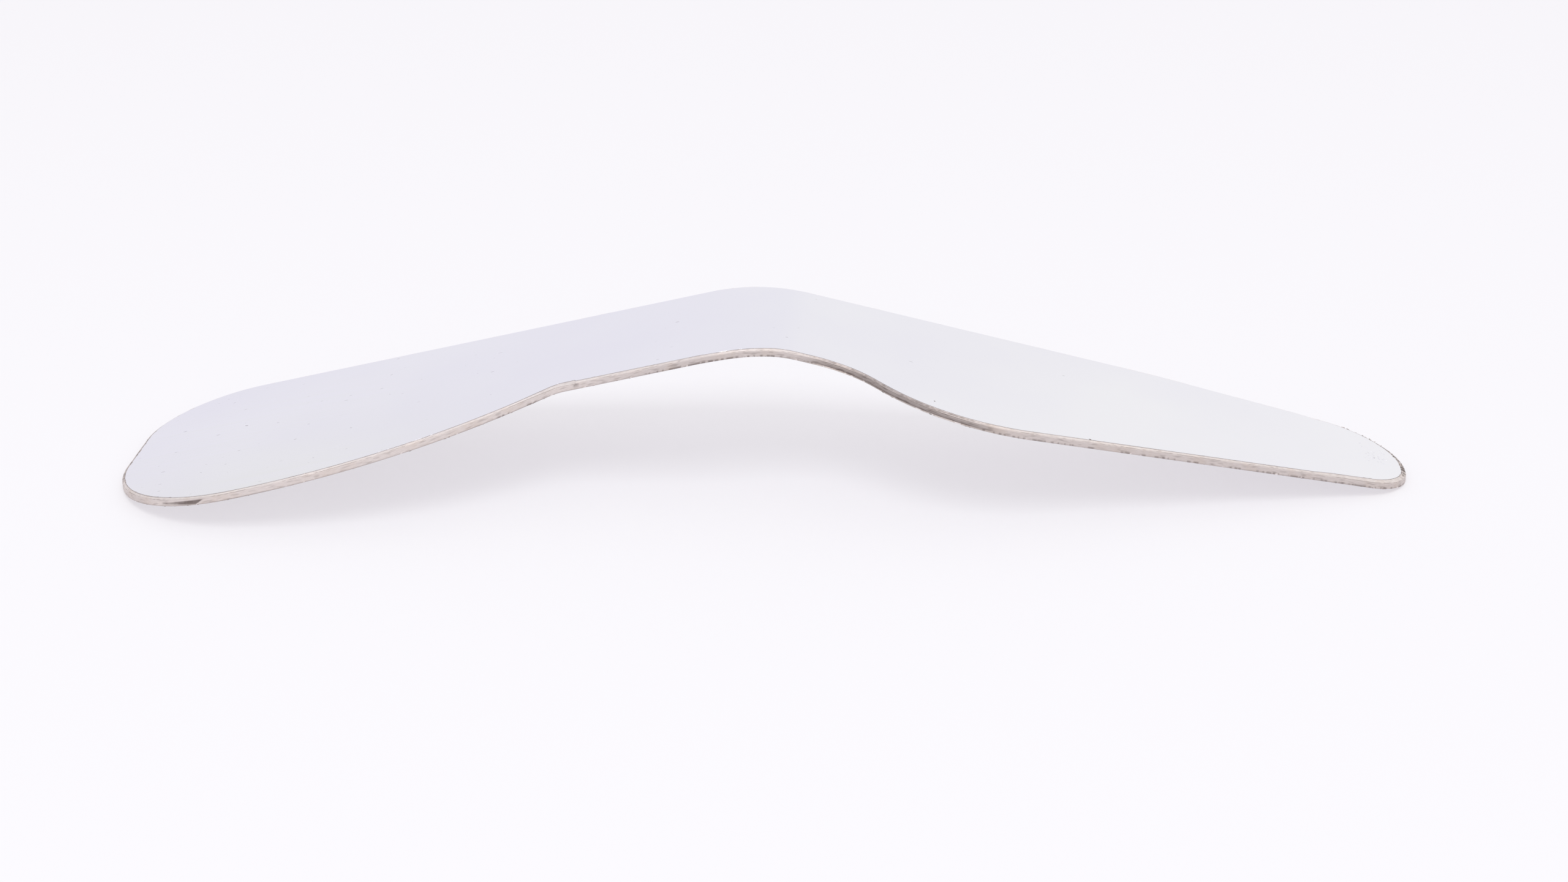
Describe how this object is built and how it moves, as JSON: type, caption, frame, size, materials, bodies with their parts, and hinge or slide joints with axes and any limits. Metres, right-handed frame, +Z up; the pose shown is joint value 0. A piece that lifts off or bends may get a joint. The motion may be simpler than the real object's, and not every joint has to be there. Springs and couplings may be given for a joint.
{
  "type": "intraoral mirror",
  "caption": "Intraoral mirror: a bent strip of polished sheet metal with a broad rounded end, a slimmer blade-like end and a scooped waist between them.",
  "frame": {"origin": "under the middle of the whole part, on the surface that it stands on", "axes": "+X along the straight side, from the broad end to the slim end; +Y from the scooped side to the straight side; +Z up"},
  "size_m": [0.1604, 0.0404, 0.0191],
  "materials": {
    "ground_edge_metal": "ground",
    "mirror_polish": "mirror polish"
  },
  "bodies": {
    "root": {"core_plate": "ground_edge_metal", "upper_mirror_layer": "mirror_polish", "lower_mirror_layer": "mirror_polish"}
  },
  "joints": []
}
